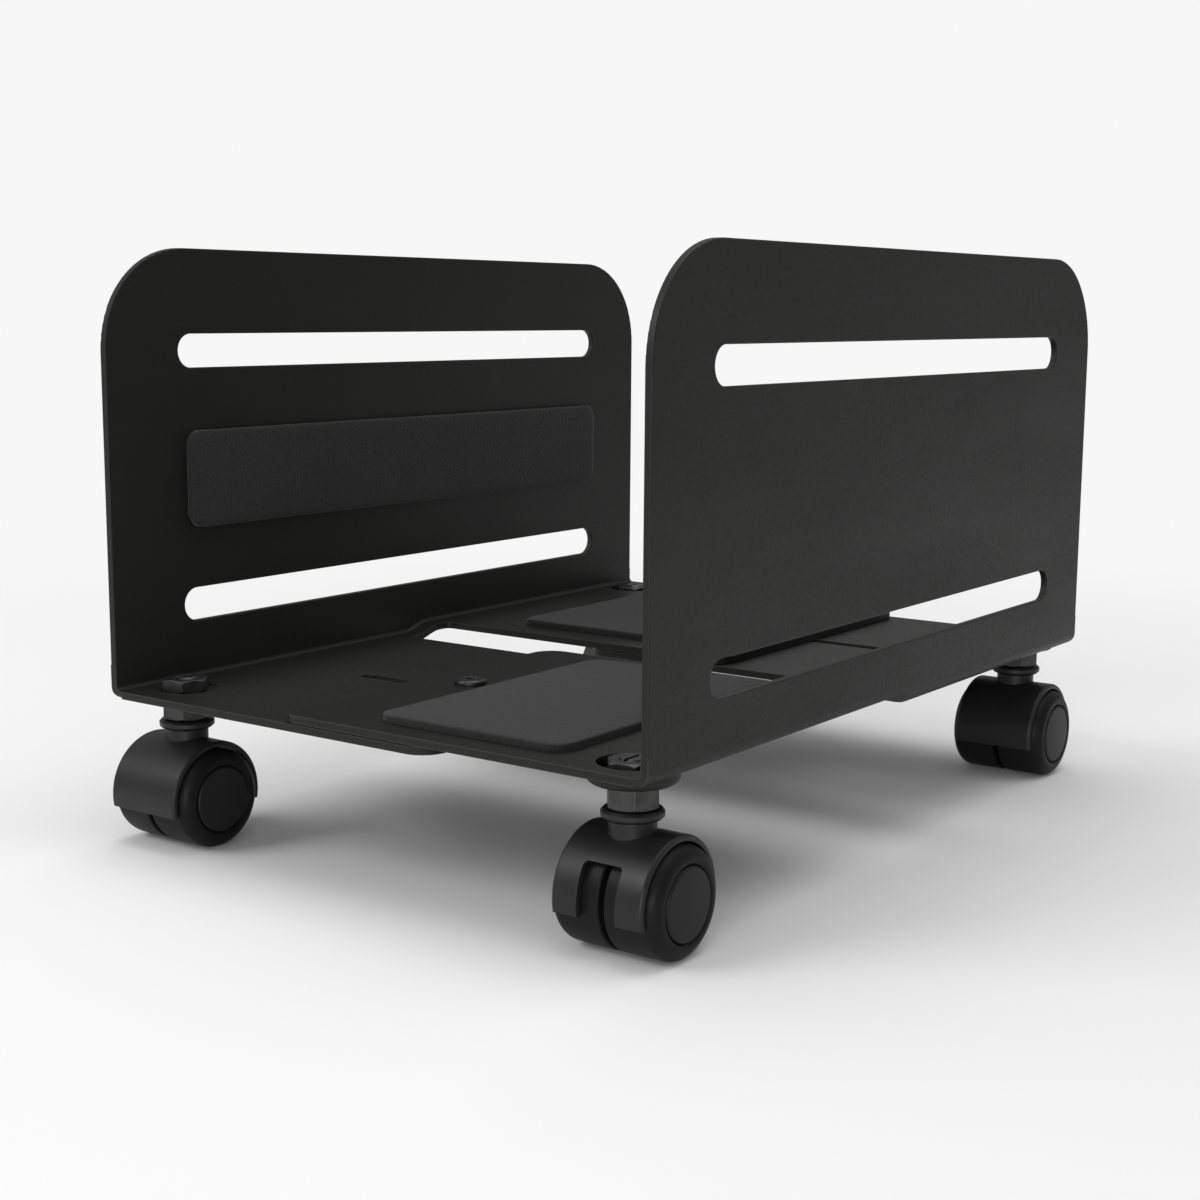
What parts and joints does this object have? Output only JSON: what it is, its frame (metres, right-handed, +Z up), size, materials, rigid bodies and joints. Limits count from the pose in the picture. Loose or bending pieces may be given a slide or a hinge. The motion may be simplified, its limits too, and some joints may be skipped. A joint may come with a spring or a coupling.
{
  "type": "cpu holder",
  "caption": "Rolling computer tower stand of sliding folded sheet brackets with slotted rounded side panels, on swivelling twin-wheel casters.",
  "frame": {"origin": "on the floor under the centre of the holder's footprint", "axes": "+Z up; +Y from the front of the holder to the rear along the panels; X across, between the two panels"},
  "size_m": [0.27, 0.3654, 0.239],
  "materials": {
    "coated_sheet": "satin powder coat",
    "foam_pad": "matt closed-cell foam",
    "black_steel": "black oxide",
    "caster_plastic": "moulded satin",
    "wheel_plastic": "moulded satin",
    "knob_plastic": "moulded matt"
  },
  "bodies": {
    "right_side": {"right_bracket": "coated_sheet", "right_side_pad": "foam_pad", "front_base_pad": "foam_pad", "front_clamp_bolt": "black_steel", "front_clamp_washer": "black_steel", "front_right_stem": "black_steel", "front_right_collar": "caster_plastic", "front_right_ring": "black_steel", "front_right_nut": "black_steel", "front_right_top_nut": "black_steel", "rear_right_stem": "black_steel", "rear_right_collar": "caster_plastic", "rear_right_ring": "black_steel", "rear_right_nut": "black_steel", "rear_right_top_nut": "black_steel"},
    "left_side": {"left_bracket": "coated_sheet", "left_side_pad": "foam_pad", "rear_base_pad": "foam_pad", "rear_clamp_bolt": "black_steel", "rear_clamp_washer": "black_steel", "front_left_stem": "black_steel", "front_left_collar": "caster_plastic", "front_left_ring": "black_steel", "front_left_nut": "black_steel", "front_left_top_nut": "black_steel", "rear_left_stem": "black_steel", "rear_left_collar": "caster_plastic", "rear_left_ring": "black_steel", "rear_left_nut": "black_steel", "rear_left_top_nut": "black_steel"},
    "front_knob": {"front_clamp_knob": "knob_plastic"},
    "rear_knob": {"rear_clamp_knob": "knob_plastic"},
    "front_right_fork": {"front_right_hood": "caster_plastic", "front_right_axle": "black_steel"},
    "front_right_outer_wheel": {"front_right_wheel_out": "wheel_plastic", "front_right_cap_out": "caster_plastic"},
    "front_right_inner_wheel": {"front_right_wheel_in": "wheel_plastic", "front_right_cap_in": "caster_plastic"},
    "front_left_fork": {"front_left_hood": "caster_plastic", "front_left_axle": "black_steel"},
    "front_left_outer_wheel": {"front_left_wheel_out": "wheel_plastic", "front_left_cap_out": "caster_plastic"},
    "front_left_inner_wheel": {"front_left_wheel_in": "wheel_plastic", "front_left_cap_in": "caster_plastic"},
    "rear_right_fork": {"rear_right_hood": "caster_plastic", "rear_right_axle": "black_steel"},
    "rear_right_outer_wheel": {"rear_right_wheel_out": "wheel_plastic", "rear_right_cap_out": "caster_plastic"},
    "rear_right_inner_wheel": {"rear_right_wheel_in": "wheel_plastic", "rear_right_cap_in": "caster_plastic"},
    "rear_left_fork": {"rear_left_hood": "caster_plastic", "rear_left_axle": "black_steel"},
    "rear_left_outer_wheel": {"rear_left_wheel_out": "wheel_plastic", "rear_left_cap_out": "caster_plastic"},
    "rear_left_inner_wheel": {"rear_left_wheel_in": "wheel_plastic", "rear_left_cap_in": "caster_plastic"}
  },
  "joints": [
    {"name": "width_slide", "type": "slide", "parent": "right_side", "child": "left_side", "axis": [-1, 0, 0], "range_m": [-0.055, 0.03]},
    {"name": "front_knob_turn", "type": "hinge", "parent": "right_side", "child": "front_knob", "pos_m": [-0.014, -0.09465, 0.05], "axis": [0, 0, 1], "range_deg": [-360, 0]},
    {"name": "rear_knob_turn", "type": "hinge", "parent": "left_side", "child": "rear_knob", "pos_m": [0.014, 0.09535, 0.05], "axis": [0, 0, 1], "range_deg": [-360, 0]},
    {"name": "front_right_swivel", "type": "hinge", "parent": "right_side", "child": "front_right_fork", "pos_m": [0.112, -0.16065, 0.043], "axis": [0, 0, 1], "continuous": true},
    {"name": "front_right_outer_roll", "type": "hinge", "parent": "front_right_fork", "child": "front_right_outer_wheel", "pos_m": [0.112, -0.15905, 0.02], "axis": [1, 0, 0], "continuous": true},
    {"name": "front_right_inner_roll", "type": "hinge", "parent": "front_right_fork", "child": "front_right_inner_wheel", "pos_m": [0.112, -0.15905, 0.02], "axis": [1, 0, 0], "continuous": true},
    {"name": "front_left_swivel", "type": "hinge", "parent": "left_side", "child": "front_left_fork", "pos_m": [-0.111, -0.15815, 0.043], "axis": [0, 0, 1], "continuous": true},
    {"name": "front_left_outer_roll", "type": "hinge", "parent": "front_left_fork", "child": "front_left_outer_wheel", "pos_m": [-0.111, -0.15975, 0.02], "axis": [1, 0, 0], "continuous": true},
    {"name": "front_left_inner_roll", "type": "hinge", "parent": "front_left_fork", "child": "front_left_inner_wheel", "pos_m": [-0.111, -0.15975, 0.02], "axis": [1, 0, 0], "continuous": true},
    {"name": "rear_right_swivel", "type": "hinge", "parent": "right_side", "child": "rear_right_fork", "pos_m": [0.111, 0.15885, 0.043], "axis": [0, 0, 1], "continuous": true},
    {"name": "rear_right_outer_roll", "type": "hinge", "parent": "rear_right_fork", "child": "rear_right_outer_wheel", "pos_m": [0.111, 0.15725, 0.02], "axis": [1, 0, 0], "continuous": true},
    {"name": "rear_right_inner_roll", "type": "hinge", "parent": "rear_right_fork", "child": "rear_right_inner_wheel", "pos_m": [0.111, 0.15725, 0.02], "axis": [1, 0, 0], "continuous": true},
    {"name": "rear_left_swivel", "type": "hinge", "parent": "left_side", "child": "rear_left_fork", "pos_m": [-0.112, 0.16135, 0.043], "axis": [0, 0, 1], "continuous": true},
    {"name": "rear_left_outer_roll", "type": "hinge", "parent": "rear_left_fork", "child": "rear_left_outer_wheel", "pos_m": [-0.112, 0.15975, 0.02], "axis": [1, 0, 0], "continuous": true},
    {"name": "rear_left_inner_roll", "type": "hinge", "parent": "rear_left_fork", "child": "rear_left_inner_wheel", "pos_m": [-0.112, 0.15975, 0.02], "axis": [1, 0, 0], "continuous": true}
  ]
}
